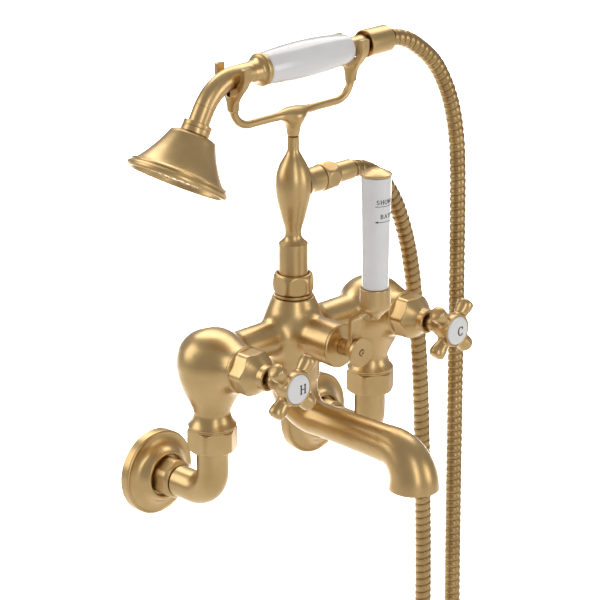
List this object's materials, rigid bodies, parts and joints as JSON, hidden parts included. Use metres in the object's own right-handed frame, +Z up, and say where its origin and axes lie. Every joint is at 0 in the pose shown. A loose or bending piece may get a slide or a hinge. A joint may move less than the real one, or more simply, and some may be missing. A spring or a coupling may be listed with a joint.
{
  "type": "wall mounted bath faucet",
  "caption": "Wall mounted bath and shower mixer with cross handles, fixed spout, lever diverter, riser with cradle, ceramic-grip hand shower and metal hose.",
  "frame": {"origin": "on the wall face, midway between the two inlets, at the height of the inlets", "axes": "+X along the wall towards the cold side, +Y into the wall, +Z up; the faucet stands out towards -Y"},
  "size_m": [0.4023, 0.2215, 0.7452],
  "materials": {
    "satin_brass": "brushed, satin, lacquered brass",
    "hose_brass": "brushed interlocked brass strip",
    "white_ceramic": "opaque white glazed ceramic, glossy",
    "cartridge_plastic": "moulded, matte",
    "rubber_black": "matte sealing rubber",
    "steel": "plain machined"
  },
  "bodies": {
    "root": {"wall_flange_left": "satin_brass", "inlet_tail_left": "satin_brass", "wall_nut_left": "satin_brass", "elbow_left": "satin_brass", "union_washer_left": "rubber_black", "union_nut_left": "satin_brass", "valve_body_left": "satin_brass", "cross_tube_left": "satin_brass", "headwork_washer_left": "rubber_black", "headwork_left": "satin_brass", "cartridge_left": "cartridge_plastic", "wall_flange_right": "satin_brass", "inlet_tail_right": "satin_brass", "wall_nut_right": "satin_brass", "elbow_right": "satin_brass", "union_washer_right": "rubber_black", "union_nut_right": "satin_brass", "valve_body_right": "satin_brass", "cross_tube_right": "satin_brass", "headwork_washer_right": "rubber_black", "headwork_right": "satin_brass", "cartridge_right": "cartridge_plastic", "hub_body": "satin_brass", "spout": "satin_brass", "spout_flow_straightener": "cartridge_plastic", "diverter_bonnet": "satin_brass", "riser_collar": "satin_brass"},
    "hot_handle": {"spindle_left": "satin_brass", "handle_cross_left": "satin_brass", "handle_screw_left": "steel", "index_button_left": "white_ceramic"},
    "cold_handle": {"spindle_right": "satin_brass", "handle_cross_right": "satin_brass", "handle_screw_right": "steel", "index_button_right": "white_ceramic"},
    "diverter_lever": {"diverter_plug": "satin_brass", "lever_arm": "satin_brass", "lever_screw": "steel", "lever_rod": "steel", "lever_grip": "white_ceramic", "lever_cap": "satin_brass"},
    "riser_set": {"riser_seal": "rubber_black", "riser": "satin_brass", "cradle": "satin_brass", "outlet_nut": "satin_brass", "outlet_washer": "rubber_black", "hose_tail_outlet": "satin_brass", "hose": "hose_brass"},
    "handset": {"gooseneck": "satin_brass", "grip_collar": "satin_brass", "handset_grip": "white_ceramic", "handset_tube": "satin_brass", "handset_hose_nut": "satin_brass", "handset_washer": "rubber_black", "hose_tail_handset": "satin_brass", "head_collar": "satin_brass", "head_shell": "satin_brass", "spray_plate": "satin_brass"}
  },
  "joints": [
    {"name": "hot_tap", "type": "hinge", "parent": "root", "child": "hot_handle", "pos_m": [-0.09, -0.07, 0.115], "axis": [0, -1, 0], "range_deg": [0, 90]},
    {"name": "cold_tap", "type": "hinge", "parent": "root", "child": "cold_handle", "pos_m": [0.09, -0.07, 0.115], "axis": [0, -1, 0], "range_deg": [-90, 0]},
    {"name": "diverter_turn", "type": "hinge", "parent": "root", "child": "diverter_lever", "pos_m": [0, -0.07, 0.115], "axis": [0, -1, 0], "range_deg": [-45, 45]},
    {"name": "riser_swivel", "type": "hinge", "parent": "root", "child": "riser_set", "pos_m": [0, -0.07, 0.15], "axis": [0, 0, 1], "range_deg": [-10, 12]},
    {"name": "handset_lift", "type": "slide", "parent": "riser_set", "child": "handset", "axis": [0, 0, 1], "range_m": [0, 0.035], "deforming": ["hose"]}
  ]
}
